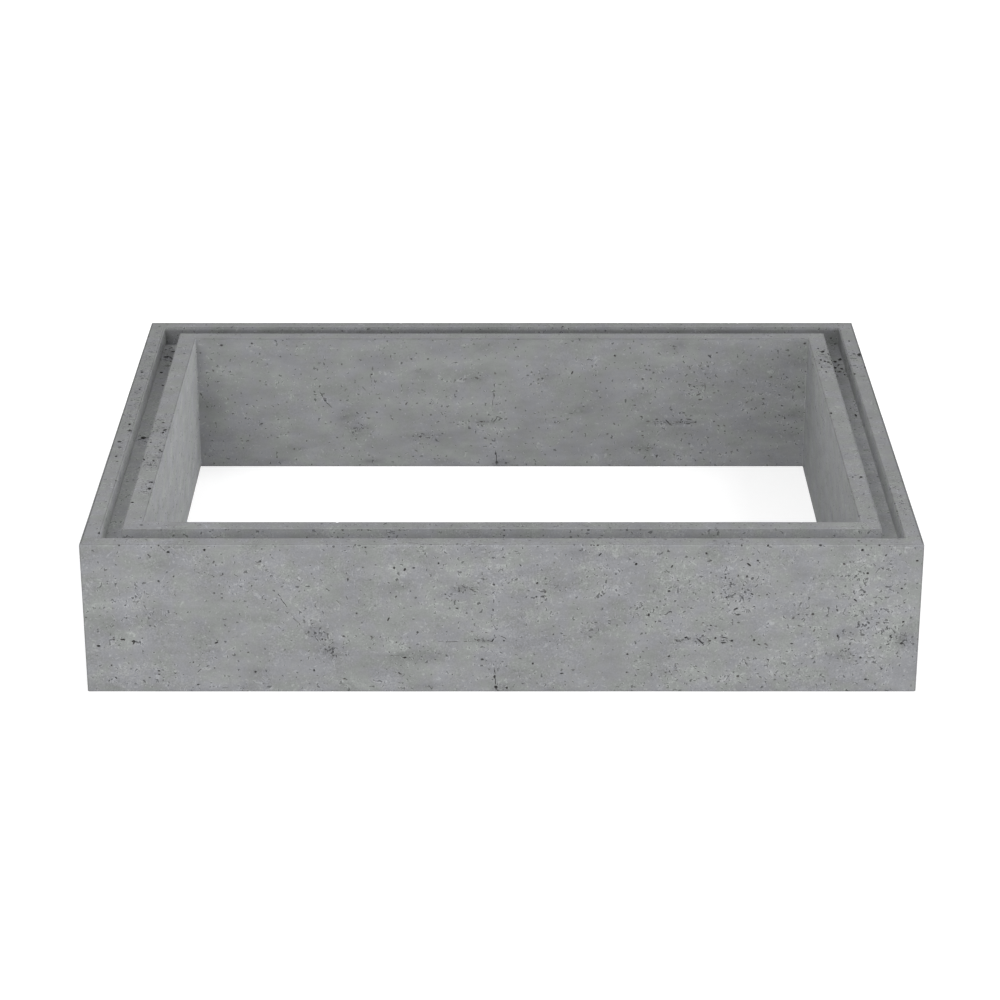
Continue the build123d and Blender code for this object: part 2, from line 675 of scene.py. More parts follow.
@dataclass(frozen=True)
class Zones:
    """Where the concrete is darkened, by smudges, patches and painted shade in the grooves, and where it is
    full of small marks.
    """

    inner_x: float
    inner_y: float
    front_share: float = 1.0
    inner_side_share: float = 0.35
    patch_size: float = 70 * MM
    patch_strength: float = 0.6
    patch_squash: tuple[float, float, float] = (1, 1, 1.8)
    patch_range: tuple[float, float] = (0.51, 0.67)
    stain_and_shade_smudge: float = 0.7
    left_shift: float = 100 * MM
    right_shift: float = 180 * MM
    margin: float = 0.5 * MM

    def store(self, body: bpy.types.Object) -> None:
        """Store both as attributes from 0 to 1 on an object's points.

        Args:
            body: the casting, before or after it is carved.
        """
        tree = NodeGroup("Store zones", "GeometryNodeTree", {
            "Geometry": (Plug.SHAPE, None), "Patch size": (Plug.VALUE, self.patch_size),
            "Patch strength": (Plug.VALUE, self.patch_strength)}, {"Geometry": Plug.SHAPE})
        place = tree.add("GeometryNodeInputPosition").outputs[0]
        spot, share = self.along_walls(tree, place)
        lying = tree.vector("MULTIPLY", place, self.patch_squash)
        patchy = tree.ramp(tree.noise(lying, tree.given["Patch size"], 2.0), *self.patch_range)
        patchy = tree.maths("MULTIPLY", patchy, tree.given["Patch strength"])
        millimetres = tree.vector("MULTIPLY", place, (1 / MM, 1 / MM, 1 / MM))
        # Stains-and-shade patches: they darken the tone along with the smudges and set where flecks gather;
        # the long groove strips among them are painted shade.
        centres, halves = [Vector(s.centre) for s in STAINS_AND_SHADE], [Vector(s.half) for s in STAINS_AND_SHADE]
        stained_and_shaded = tree.patches(millimetres, centres, halves,
                               [s.strength * self.stain_and_shade_smudge for s in STAINS_AND_SHADE])
        flecked = tree.patches(millimetres, centres, halves, [s.strength * s.flecked for s in STAINS_AND_SHADE])
        whole = tree.given["Geometry"]
        for name, patches, others in ((RESTLESS, RESTLESS_PATCHES, (patchy, flecked)),
                                      (SMUDGED_AND_SHADED, SMUDGES, (stained_and_shaded,))):
            level = tree.patches(spot, [Vector((p.along, 0, p.up)) for p in patches],
                                 [Vector((p.wide, 1, p.tall)) for p in patches],
                                 [p.strength for p in patches])
            level = tree.maths("MULTIPLY", level, share)
            for other in others:
                level = tree.maths("MAXIMUM", level, other)
            stored = {"Geometry": whole, "Name": name, "Value": level}
            whole = tree.place("GeometryNodeStoreNamedAttribute", stored, data_type="FLOAT",
                               domain="POINT").outputs[0]
        tree.feed(tree.result["Geometry"], whole)
        body.data = tree.run(body, {"Patch size": self.patch_size, "Patch strength": self.patch_strength})

    def along_walls(self, tree: TreeBuilder, place: bpy.types.NodeSocket) -> tuple[object, object]:
        """Lay the walls out flat, so that one set of patches serves them all.

        Args:
            tree: the tree.
            place: positions in metres.

        Returns:
            Along and up in millimetres, and how strongly the patches show there.
        """
        parts = tree.place("ShaderNodeSeparateXYZ", {0: place}).outputs
        end_wall = tree.maths("LESS_THAN", tree.maths("ABSOLUTE", parts["Y"]), self.inner_y - self.margin)
        right = tree.maths("GREATER_THAN", parts["X"], 0.0)
        turned = tree.maths("MULTIPLY_ADD", parts["Y"], tree.blend(right, -1, 1),
                            tree.blend(right, self.left_shift, self.right_shift))
        along = tree.place("ShaderNodeMix", {0: end_wall, 2: parts["X"], 3: turned},
                           data_type="FLOAT").outputs[0]
        spot = tree.place("ShaderNodeCombineXYZ", {
            "X": tree.maths("DIVIDE", along, MM), "Z": tree.maths("DIVIDE", parts["Z"], MM)}).outputs[0]
        inner = tree.maths("LESS_THAN", tree.maths("ABSOLUTE", parts["X"]), self.inner_x + self.margin)
        faint = tree.maths("MULTIPLY", end_wall, inner)
        return spot, tree.blend(faint, self.front_share, self.inner_side_share)


def scatter_tree() -> NodeGroup:
    """Build the tree that scatters blowholes, in clusters and in the restless patches.

    Returns:
        The tree.
    """
    tree = NodeGroup("Scatter blowholes", "GeometryNodeTree", {
        "Geometry": (Plug.SHAPE, None), "Seed": (Plug.WHOLE, 1), "Density": (Plug.VALUE, 1000.0),
        "Least gap": (Plug.VALUE, 4 * MM), "Small": (Plug.VALUE, 1 * MM), "Large": (Plug.VALUE, 3 * MM),
        "Rarity": (Plug.VALUE, 3.0), "Stretch": (Plug.VALUE, 1.0), "Fineness": (Plug.WHOLE, 1),
        "Paint": (Plug.PAINT, None)}, {"Geometry": Plug.SHAPE})
    underside_share, calm_share, loose_share = 0.06, 0.03, 0.15
    cluster_size, lump_size, lump_height = 14 * MM, 2.5 * MM, 1.6 * MM
    least_length, sinking = 0.9, 1.15
    given = tree.given
    spot = tree.add("GeometryNodeInputPosition").outputs[0]
    facing = tree.add("GeometryNodeInputNormal").outputs[0]
    upward = tree.place("ShaderNodeSeparateXYZ", {0: facing}).outputs["Z"]
    shown = tree.ramp(upward, -0.9, -0.5, underside_share, 1.0)
    restless = tree.place("GeometryNodeInputNamedAttribute", {"Name": RESTLESS},
                          data_type="FLOAT").outputs[0]
    clusters = tree.ramp(tree.noise(spot, cluster_size, 1.0), 0.40, 0.62, loose_share, 1.0)
    wanted = tree.maths("MULTIPLY_ADD", tree.maths("MULTIPLY", restless, clusters), 1 - calm_share,
                        calm_share)
    points = tree.place("GeometryNodeDistributePointsOnFaces", {
        "Mesh": given["Geometry"], "Distance Min": given["Least gap"], "Density Max": given["Density"],
        "Density Factor": tree.maths("MULTIPLY", wanted, shown), "Seed": given["Seed"]},
        distribute_method="POISSON")
    chance = tree.place("FunctionNodeRandomValue", {"Seed": given["Seed"]}, data_type="FLOAT").outputs[1]
    size = tree.blend(tree.maths("POWER", chance, given["Rarity"]), given["Small"], given["Large"])
    length_seed = tree.maths("ADD", given["Seed"], 17)
    length = tree.place("FunctionNodeRandomValue", {2: 0.0, 3: 1.0, "Seed": length_seed},
                        data_type="FLOAT").outputs[1]
    length = tree.maths("MULTIPLY_ADD", tree.maths("POWER", length, 2.0), given["Stretch"], least_length)
    turn_seed = tree.maths("ADD", given["Seed"], 31)
    turn = tree.place("FunctionNodeRandomValue", {2: 0.0, 3: math.pi, "Seed": turn_seed},
                      data_type="FLOAT").outputs[1]
    turned = tree.place("FunctionNodeRotateRotation", {
        0: points.outputs["Rotation"],
        1: tree.place("FunctionNodeEulerToRotation", {
            0: tree.place("ShaderNodeCombineXYZ", {"Z": turn}).outputs[0]}).outputs[0]},
        rotation_space="LOCAL").outputs[0]
    scale = tree.place("ShaderNodeCombineXYZ", {
        "X": tree.maths("MULTIPLY", size, length), "Y": size, "Z": tree.maths("MULTIPLY", size, sinking)})
    bubble = tree.place("GeometryNodeMeshIcoSphere", {"Radius": 0.5, "Subdivisions": given["Fineness"]})
    holes = tree.place("GeometryNodeInstanceOnPoints", {
        "Points": points.outputs["Points"], "Instance": bubble.outputs["Mesh"], "Rotation": turned,
        "Scale": scale.outputs[0]})
    loose = tree.place("GeometryNodeRealizeInstances", {0: holes.outputs[0]})
    shake = tree.vector("SUBTRACT", tree.noise(spot, lump_size, 1.0, colour=True), (0.5, 0.5, 0.5))
    shaken = tree.place("GeometryNodeSetPosition", {
        "Geometry": loose.outputs[0], "Offset": tree.vector("MULTIPLY", shake, (lump_height,) * 3)})
    dressed = tree.place("GeometryNodeSetMaterial", {"Geometry": shaken.outputs[0],
                                                     "Material": given["Paint"]})
    tree.feed(tree.result["Geometry"], dressed.outputs[0])
    return tree


@dataclass(frozen=True)
class PlacedMarks:
    """Blowholes and dashes that are set out one by one on one face."""

    side: Side
    plane: float
    marks: tuple[Mark, ...]
    reach: tuple[float, float]
    mirrored: bool = False
    shift: float = 0.0
    depth: float = 1.1

    def place(self, shape: bmesh.types.BMesh, mark: Mark) -> None:
        """Add one mark's cutter.

        Args:
            shape: the cutters' mesh.
            mark: the mark.
        """
        along = (-mark.along if self.mirrored else mark.along) + self.shift
        if not self.reach[0] < along < self.reach[1]:
            return
        out = Vector(self.side.value)
        lean = math.radians(-mark.lean if self.mirrored else mark.lean)
        across = Vector((0, 1, 0)) if out.x else Vector((1, 0, 0))
        upward = Vector((0, 1, 0)) if out.z else Vector((0, 0, 1))
        through = Vector((1, 1, 1)) - across - upward
        centre = across * along + upward * mark.up + through * self.plane
        first = across * math.cos(lean) + upward * math.sin(lean)
        second = upward * math.cos(lean) - across * math.sin(lean)
        narrow = min(mark.wide, mark.tall)
        axes = (first * mark.wide, second * mark.tall, out * narrow * self.depth)
        turn = Matrix([list(row) for row in zip(*axes)]).to_4x4()
        placed = Matrix.Translation(centre * MM) @ Matrix.Scale(MM, 4) @ turn
        bmesh.ops.create_icosphere(shape, subdivisions=2, radius=0.5, matrix=placed)

    def place_all(self, shape: bmesh.types.BMesh) -> None:
        """Add the cutters of the whole face.

        Args:
            shape: the cutters' mesh.
        """
        for mark in self.marks:
            self.place(shape, mark)


def placed_cutters(faces: list[PlacedMarks], paint: bpy.types.Material) -> bpy.types.Mesh:
    """Build the marks of several faces as ragged little bodies.

    Args:
        faces: the faces with their marks.
        paint: the finish of the marks' insides.

    Returns:
        A mesh of separate small closed bodies.
    """
    ragged, lump = 0.6 * MM, 1.8 * MM
    shape = bmesh.new()
    for face in faces:
        face.place_all(shape)
    for vertex in shape.verts:
        vertex.co += noise.noise_vector(vertex.co / lump) * ragged
    bmesh.ops.recalc_face_normals(shape, faces=shape.faces)
    mesh = bpy.data.meshes.new("placed_marks")
    shape.to_mesh(mesh)
    shape.free()
    mesh.materials.append(paint)
    return mesh


@dataclass(frozen=True)
class Cracks:
    """Shrinkage cracks, swept along given paths by Geometry Nodes."""

    step: float = 2.5 * MM
    wander: float = 5.5 * MM
    wander_size: float = 8 * MM
    width_change: float = 11 * MM
    least_width: float = 0.1
    sides: int = 5
    deepening: float = 2.5

    def tree(self) -> NodeGroup:
        """Build the tree that turns edges into thin wandering tubes.

        Returns:
            The tree.
        """
        tree = NodeGroup("Sweep cracks", "GeometryNodeTree", {
            "Geometry": (Plug.SHAPE, None), "Step": (Plug.VALUE, self.step),
            "Wander": (Plug.VALUE, self.wander), "Wander size": (Plug.VALUE, self.wander_size),
            "Least width": (Plug.VALUE, self.least_width), "Sides": (Plug.WHOLE, self.sides),
            "Paint": (Plug.PAINT, None)}, {"Geometry": Plug.SHAPE})
        given = tree.given
        spot = tree.add("GeometryNodeInputPosition").outputs[0]
        line = tree.place("GeometryNodeMeshToCurve", {"Mesh": given["Geometry"]})
        fine = tree.place("GeometryNodeResampleCurve", {
            "Curve": line.outputs[0], "Length": given["Step"]}, mode="LENGTH")
        sway = tree.vector("SUBTRACT", tree.noise(spot, given["Wander size"], 3.0, 0.7, colour=True),
                           (0.5, 0.5, 0.5))
        reach = tree.place("ShaderNodeVectorMath", {0: sway, "Scale": given["Wander"]}, operation="SCALE")
        bent = tree.place("GeometryNodeSetPosition", {"Geometry": fine.outputs[0],
                                                      "Offset": reach.outputs[0]})
        varied = tree.ramp(tree.noise(spot, self.width_change, 2.0), 0.35, 0.65, given["Least width"], 1.0)
        width = tree.place("GeometryNodeInputNamedAttribute", {"Name": CRACK_WIDTH},
                           data_type="FLOAT").outputs[0]
        radius = tree.maths("MULTIPLY", tree.maths("MULTIPLY", width, 0.5), varied)
        round_line = tree.place("GeometryNodeCurvePrimitiveCircle", {"Resolution": given["Sides"],
                                                                     "Radius": 1.0})
        tube = tree.place("GeometryNodeCurveToMesh", {
            "Curve": bent.outputs[0], "Profile Curve": round_line.outputs[0], "Scale": radius,
            "Fill Caps": True})
        whole = tree.place("GeometryNodeRealizeInstances", {0: tube.outputs[0]})
        dressed = tree.place("GeometryNodeSetMaterial", {"Geometry": whole.outputs[0],
                                                         "Material": given["Paint"]})
        tree.feed(tree.result["Geometry"], dressed.outputs[0])
        return tree

    def on_walls(self, planes: tuple[float, ...], paths: tuple[CrackPath, ...],
                 paint: bpy.types.Material) -> bpy.types.Mesh:
        """Sweep cracks on walls that face front or back.

        Args:
            planes: the walls' places along Y, in metres.
            paths: cracks that don't touch each other.
            paint: the finish of their insides.

        Returns:
            Closed tubes, deepened across the wall.
        """
        points, edges, widths = [], [], []
        for plane in planes:
            for path in paths:
                first = len(points)
                points += [(x * MM, plane, z * MM) for x, z in path.points]
                edges += [(k, k + 1) for k in range(first, len(points) - 1)]
                widths += [path.width * MM] * len(path.points)
        mesh = bpy.data.meshes.new("crack_lines")
        mesh.from_pydata(points, edges, [])
        mesh.attributes.new(CRACK_WIDTH, "FLOAT", "POINT").data.foreach_set("value", widths)
        lines = link_object("crack_lines", mesh)
        tubes = self.tree().run(lines, {"Paint": paint})
        bpy.data.objects.remove(lines)
        for vertex in tubes.vertices:
            plane = min(planes, key=lambda p: abs(p - vertex.co.y))
            vertex.co.y = plane + (vertex.co.y - plane) * self.deepening
        return tubes


@dataclass(frozen=True)
class ArrisChips:
    """Small chips knocked out of the edges, placed along them by Geometry Nodes."""

    seed: int = 5
    spacing: float = 9 * MM
    share: float = 0.42
    small: float = 0.9 * MM
    large: float = 4.2 * MM
    rarity: float = 4.0

    def cutters(self, edges: bpy.types.Object, paint: bpy.types.Material) -> bpy.types.Mesh:
        """Set the chips along the edges.

        Args:
            edges: an object of edge lines.
            paint: the finish of the broken faces.

        Returns:
            A mesh of separate small closed bodies.
        """
        tree = NodeGroup("Chip arrises", "GeometryNodeTree", {
            "Geometry": (Plug.SHAPE, None), "Seed": (Plug.WHOLE, 1), "Spacing": (Plug.VALUE, 9 * MM),
            "Share": (Plug.VALUE, 0.4), "Small": (Plug.VALUE, 1 * MM), "Large": (Plug.VALUE, 4 * MM),
            "Rarity": (Plug.VALUE, 4.0), "Paint": (Plug.PAINT, None)}, {"Geometry": Plug.SHAPE})
        given = tree.given
        line = tree.place("GeometryNodeMeshToCurve", {"Mesh": given["Geometry"]})
        points = tree.place("GeometryNodeCurveToPoints", {
            "Curve": line.outputs[0], "Length": given["Spacing"]}, mode="LENGTH")
        picked = tree.place("FunctionNodeRandomValue", {
            "Probability": given["Share"], "Seed": given["Seed"]}, data_type="BOOLEAN").outputs[3]
        chance = tree.place("FunctionNodeRandomValue", {"Seed": tree.maths("ADD", given["Seed"], 3)},
                            data_type="FLOAT").outputs[1]
        size = tree.blend(tree.maths("POWER", chance, given["Rarity"]), given["Small"], given["Large"])
        spin = tree.place("FunctionNodeRandomValue", {0: (0, 0, 0), 1: (math.tau,) * 3,
                                                      "Seed": tree.maths("ADD", given["Seed"], 7)},
                          data_type="FLOAT_VECTOR").outputs[0]
        odd = tree.place("FunctionNodeRandomValue", {0: (0.6, 0.6, 0.6), 1: (1.5, 1.5, 1.5),
                                                     "Seed": tree.maths("ADD", given["Seed"], 11)},
                         data_type="FLOAT_VECTOR").outputs[0]
        flake = tree.place("GeometryNodeMeshIcoSphere", {"Radius": 0.5, "Subdivisions": 1})
        scale = tree.place("ShaderNodeVectorMath", {0: odd, "Scale": size}, operation="SCALE").outputs[0]
        chips = tree.place("GeometryNodeInstanceOnPoints", {
            "Points": points.outputs[0], "Selection": picked, "Instance": flake.outputs["Mesh"],
            "Rotation": tree.place("FunctionNodeEulerToRotation", {0: spin}).outputs[0], "Scale": scale})
        loose = tree.place("GeometryNodeRealizeInstances", {0: chips.outputs[0]})
        dressed = tree.place("GeometryNodeSetMaterial", {"Geometry": loose.outputs[0],
                                                         "Material": given["Paint"]})
        tree.feed(tree.result["Geometry"], dressed.outputs[0])
        return tree.run(edges, {"Seed": self.seed, "Spacing": self.spacing, "Share": self.share,
                                "Small": self.small, "Large": self.large, "Rarity": self.rarity,
                                "Paint": paint})


class Carver:
    """Cuts closed bodies out of the casting."""

    def __init__(self, body: bpy.types.Object) -> None:
        """Keep the casting.

        Args:
            body: the casting, a closed object.
        """
        self.body = body

    def cut(self, name: str, cutters: bpy.types.Mesh) -> None:
        """Take one set of cutters away from the casting.

        Args:
            name: what the set is, for the log.
            cutters: closed bodies.
        """
        tool = link_object(name, cutters)
        carve = self.body.modifiers.new("carve", "BOOLEAN")
        carve.operation = "DIFFERENCE"
        carve.solver = "MANIFOLD"
        carve.object = tool
        carve.material_mode = "TRANSFER"
        self.body.data = plain_mesh(self.body, carve)
        bpy.data.objects.remove(tool)
        log.info("%s: %d cutter faces, casting now %d faces", name, len(cutters.polygons),
                 len(self.body.data.polygons))


# Finishes


class Patterns:
    """The shader node groups that the finishes share."""

    def __init__(self, casting: Casting) -> None:
        """Build every group once.

        Args:
            casting: the ring, for its sizes.
        """
        self.casting = casting
        self.clouds = self.build_clouds()
        self.flecks = self.build_flecks()
        self.wrinkles = self.build_wrinkles()
        self.grain = self.build_grain()
        self.section = self.build_section()

    def build_clouds(self) -> NodeGroup:
        """Build slow changes of tone and tint.

        Returns:
            The group: Tone about 1, Tint about 0.5, and Torn, a ragged mask from 0 to 1.
        """
        group = NodeGroup("Concrete clouds", "ShaderNodeTree", {
            "Vector": (Plug.VECTOR, (0, 0, 0)), "Contrast": (Plug.VALUE, 0.1)},
            {"Tone": Plug.VALUE, "Tint": Plug.VALUE, "Torn": Plug.VALUE})
        squash, broad_size, torn_size, tint_size = (1, 1, 2.2), 55 * MM, 20 * MM, 26 * MM
        torn_share = 0.35
        average = 0.5 * (1 + torn_share)
        lying = group.vector("MULTIPLY", group.given["Vector"], squash)
        broad = group.noise(lying, broad_size, 2.0, 0.6)
        torn = group.noise(lying, torn_size, 3.0, 0.65)
        both = group.maths("MULTIPLY_ADD", torn, torn_share, group.maths("SUBTRACT", broad, average))
        swing = group.maths("MULTIPLY_ADD", both, group.given["Contrast"], 1.0)
        group.feed(group.result["Tone"], swing)
        group.feed(group.result["Tint"], group.noise(group.given["Vector"], tint_size, 2.0))
        group.feed(group.result["Torn"], group.ramp(torn, 0.43, 0.57))
        return group

    def build_flecks(self) -> NodeGroup:
        """Build small dark flecks with pale rims, many where Unrest is high.

        Returns:
            The group: Dark and Pale, masks from 0 to 1.
        """
        group = NodeGroup("Dark flecks", "ShaderNodeTree", {
            "Vector": (Plug.VECTOR, (0, 0, 0)), "Unrest": (Plug.VALUE, 0.0), "Size": (Plug.VALUE, 3 * MM),
            "Bend": (Plug.VALUE, 5 * MM), "Calm level": (Plug.VALUE, 0.70),
            "Restless level": (Plug.VALUE, 0.60), "Softness": (Plug.VALUE, 0.05)},
            {"Dark": Plug.VALUE, "Pale": Plug.VALUE})
        given = group.given
        warp = group.noise(given["Vector"], group.maths("MULTIPLY", given["Size"], 2.2), 0.0, colour=True)
        bend = group.place("ShaderNodeVectorMath", {
            0: group.vector("SUBTRACT", warp, (0.5, 0.5, 0.5)), "Scale": given["Bend"]},
            operation="SCALE").outputs[0]
        fleck = group.noise(group.vector("ADD", given["Vector"], bend), given["Size"], 1.5, 0.55)
        level = group.maths("MULTIPLY_ADD", given["Unrest"],
                            group.maths("SUBTRACT", given["Restless level"], given["Calm level"]),
                            given["Calm level"])
        over = group.maths("DIVIDE", group.maths("SUBTRACT", fleck, level), given["Softness"])
        rim = group.maths("MULTIPLY", group.ramp(over, -1.6, -0.6), group.ramp(over, -0.3, 0.3, 1.0, 0.0))
        group.feed(group.result["Dark"], group.ramp(over, 0, 1, smooth=False))
        group.feed(group.result["Pale"], rim)
        return group

    def build_wrinkles(self) -> NodeGroup:
        """Build thin broken dark lines that run through the restless zones.

        Returns:
            The group: Dark and Pale, masks from 0 to 1.
        """
        group = NodeGroup("Broken wrinkles", "ShaderNodeTree", {
            "Vector": (Plug.VECTOR, (0, 0, 0)), "Unrest": (Plug.VALUE, 0.0), "Size": (Plug.VALUE, 10 * MM),
            "Width": (Plug.VALUE, 0.05)}, {"Dark": Plug.VALUE, "Pale": Plug.VALUE})
        given = group.given
        wave = group.noise(given["Vector"], given["Size"], 1.5, 0.6, 0.6)
        off = group.maths("ABSOLUTE", group.maths("SUBTRACT", wave, 0.5))
        off = group.maths("DIVIDE", off, given["Width"])
        gaps = group.noise(group.vector("ADD", given["Vector"], (0.2, 0.4, 0.6)), 5.5 * MM, 0.0)
        edge = group.maths("MULTIPLY_ADD", given["Unrest"], -0.22, 0.69)
        broken = group.ramp(group.maths("SUBTRACT", gaps, edge), 0, 0.05)
        dark = group.ramp(off, 0.4, 1.0, 1.0, 0.0)
        rim = group.maths("MULTIPLY", group.ramp(off, 0.9, 1.3), group.ramp(off, 1.6, 2.4, 1.0, 0.0))
        group.feed(group.result["Dark"], group.maths("MULTIPLY", dark, broken))
        group.feed(group.result["Pale"], group.maths("MULTIPLY", rim, broken))
        return group

    def build_grain(self) -> NodeGroup:
        """Build the sandy grain of the skin, sharper in some zones than in others.

        Returns:
            The group: Fine and Coarse, each about 0.
        """
        group = NodeGroup("Sandy grain", "ShaderNodeTree", {
            "Vector": (Plug.VECTOR, (0, 0, 0)), "Unrest": (Plug.VALUE, 0.0), "Calm": (Plug.VALUE, 0.4)},
            {"Fine": Plug.VALUE, "Coarse": Plug.VALUE})
        spot = group.given["Vector"]
        zone = group.ramp(group.noise(spot, 50 * MM, 1.0), 0.45, 0.62)
        zone = group.maths("MAXIMUM", zone, group.given["Unrest"])
        zone = group.blend(zone, group.given["Calm"], 1.0)
        fine = group.maths("SUBTRACT", group.noise(spot, 2.2 * MM, 0.0), 0.5)
        coarse = group.maths("SUBTRACT", group.noise(spot, 5.5 * MM, 1.0), 0.5)
        group.feed(group.result["Fine"], group.maths("MULTIPLY", fine, zone))
        group.feed(group.result["Coarse"], group.maths("MULTIPLY", coarse, zone))
        return group

    def build_section(self) -> NodeGroup:
        """Build what follows from the place in the wall's section.

        Returns:
            The group: Depth below the nearest face in metres, and masks from 0 to 1: Top for the top faces,
            Groove for the groove, Inner for the faces round the opening, Far for how far back a place is,
            and Edge for the arrises.
        """
        group = NodeGroup("Place in the wall", "ShaderNodeTree", {"Vector": (Plug.VECTOR, (0, 0, 0))},
                          {"Depth": Plug.VALUE, "Top": Plug.VALUE, "Groove": Plug.VALUE,
                           "Inner": Plug.VALUE, "Far": Plug.VALUE, "Edge": Plug.VALUE})
        section, high = self.casting.section, self.casting.high
        parts = group.place("ShaderNodeSeparateXYZ", {0: group.given["Vector"]}).outputs
        in_x = group.maths("SUBTRACT", high[0], group.maths("ABSOLUTE", parts["X"]))
        in_y = group.maths("SUBTRACT", high[1], group.maths("ABSOLUTE", parts["Y"]))
        inset = group.maths("MINIMUM", in_x, in_y)
        below = group.maths("SUBTRACT", high[2], parts["Z"])
        sides = group.maths("MINIMUM", inset, group.maths("SUBTRACT", section.wall, inset))
        beside = group.maths("MAXIMUM", group.maths("SUBTRACT", section.rim, inset),
                             group.maths("SUBTRACT", inset, section.lip_edge))
        beside = group.maths("MAXIMUM", beside, 0.0)
        under = group.maths("MAXIMUM", group.maths("SUBTRACT", below, section.groove_depth), 0.0)
        to_groove = group.maths("SQRT", group.maths("ADD", group.maths("MULTIPLY", beside, beside),
                                                    group.maths("MULTIPLY", under, under)))
        level = group.maths("MINIMUM", below, parts["Z"])
        depth = group.maths("MINIMUM", group.maths("MINIMUM", sides, level), to_groove)
        tie = 0.4 * MM
        over = group.maths("SUBTRACT", group.maths("MINIMUM", sides, to_groove), below)
        within = group.ramp(beside, 0.6 * MM, 1.6 * MM, 1, 0)
        group.feed(group.result["Depth"], depth)
        group.feed(group.result["Top"], group.ramp(over, -tie, tie))
        group.feed(group.result["Groove"],
                   group.maths("MULTIPLY", within, group.ramp(below, 1 * MM, 7 * MM)))
        group.feed(group.result["Inner"], group.ramp(inset, section.wall - 4 * MM, section.wall - 2 * MM))
        group.feed(group.result["Far"], group.ramp(parts["Y"], -high[1], high[1], smooth=False))
        upright = sides
        for line in (section.rim, section.lip_edge):
            off_line = group.maths("ABSOLUTE", group.maths("SUBTRACT", inset, line))
            upright = group.maths("MINIMUM", upright, off_line)
        corner = group.maths("MINIMUM", group.maths("MAXIMUM", upright, level),
                             group.maths("MAXIMUM", in_x, in_y))
        faint, narrowing, spared_width = 0.4, 3.0, 5 * MM
        outer = group.maths("MAXIMUM", inset, group.maths("MULTIPLY", below, narrowing))
        edge = group.maths("MAXIMUM", group.ramp(corner, 1.0 * MM, 2.6 * MM, faint, 0),
                           group.ramp(outer, 1.8 * MM, 3.8 * MM, 1, 0))
        from_front = group.maths("ADD", parts["Y"], high[1])
        spared = group.maths("LESS_THAN", group.maths("MAXIMUM", from_front, below), spared_width)
        group.feed(group.result["Edge"], group.maths("SUBTRACT", edge, spared, clamp=True))
        return group


